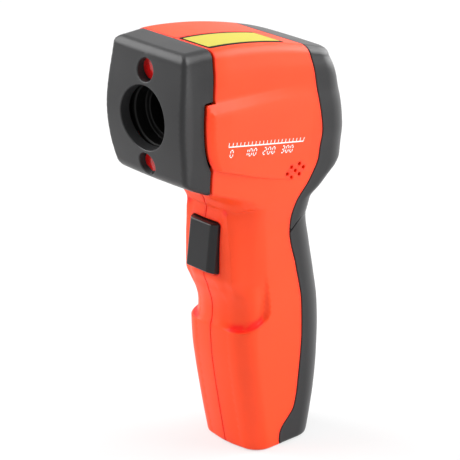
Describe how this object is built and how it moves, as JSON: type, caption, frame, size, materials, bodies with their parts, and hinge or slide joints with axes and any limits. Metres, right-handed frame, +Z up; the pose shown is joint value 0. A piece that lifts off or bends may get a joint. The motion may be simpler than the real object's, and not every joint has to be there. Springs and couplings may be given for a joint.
{
  "type": "infrared thermometer",
  "caption": "Pistol-grip non-contact thermometer with a sight aperture between aiming lasers, a sprung trigger, a rear display with keys and a hinged battery door",
  "frame": {"origin": "middle of the outline seen from above, on the level of the flat grip base", "axes": "+X is the aiming direction, +Y the left hand side of the instrument, +Z up"},
  "size_m": [0.0758, 0.0394, 0.1455],
  "materials": {
    "orange_shell": "satin moulded plastic",
    "dark_shell": "satin moulded plastic",
    "black_part": "matt moulded plastic",
    "steel": "plain steel",
    "brass": "turned brass",
    "board": "solder-masked laminate",
    "red_window": "polished red filter",
    "clear_window": "polished clear window",
    "display": "display glass",
    "white_frame": "white reflector moulding",
    "lens": "infrared lens",
    "battery_case": "sheet steel can",
    "lead": "insulated wire"
  },
  "bodies": {
    "instrument": {"left_housing": "orange_shell", "right_housing": "orange_shell", "nose_bezel": "dark_shell", "rear_cover": "dark_shell", "hinge_pin": "steel", "housing_screws": "steel", "trigger_spring": "steel", "trigger_switch": "black_part", "trigger_board": "board", "optic_tube": "black_part", "infrared_lens": "lens", "lens_ring": "black_part", "thermopile_sensor": "steel", "sensor_board": "board", "optics_bracket": "black_part", "upper_laser": "brass", "lower_laser": "brass", "upper_laser_window": "red_window", "lower_laser_window": "red_window", "display_window": "clear_window", "display_glass": "display", "display_frame": "white_frame", "main_board": "board", "board_screws": "steel", "key_switches": "black_part", "processor": "black_part", "sounder": "black_part", "battery": "battery_case", "battery_snap": "black_part", "battery_leads": "lead"},
    "battery_door": {"battery_door": "dark_shell"},
    "trigger": {"trigger": "dark_shell"},
    "up_key": {"up_key": "dark_shell"},
    "mode_key": {"mode_key": "dark_shell"},
    "down_key": {"down_key": "dark_shell"}
  },
  "joints": [
    {"name": "trigger_pull", "type": "slide", "parent": "instrument", "child": "trigger", "axis": [-1, 0, 0], "range_m": [0, 0.0025], "stiffness_N_per_m": 900, "springref_m": -0.0015, "deforming": ["trigger_spring"]},
    {"name": "door_hinge", "type": "hinge", "parent": "instrument", "child": "battery_door", "pos_m": [-0.014, 0, 0.0028], "axis": [0, -1, 0], "range_deg": [0, 80]},
    {"name": "up_key_press", "type": "slide", "parent": "instrument", "child": "up_key", "axis": [0.9703, 0, -0.2419], "range_m": [0, 0.0005], "stiffness_N_per_m": 1500, "springref_m": -0.0005},
    {"name": "mode_key_press", "type": "slide", "parent": "instrument", "child": "mode_key", "axis": [0.9703, 0, -0.2419], "range_m": [0, 0.0005], "stiffness_N_per_m": 1500, "springref_m": -0.0005},
    {"name": "down_key_press", "type": "slide", "parent": "instrument", "child": "down_key", "axis": [0.9703, 0, -0.2419], "range_m": [0, 0.0005], "stiffness_N_per_m": 1500, "springref_m": -0.0005}
  ]
}
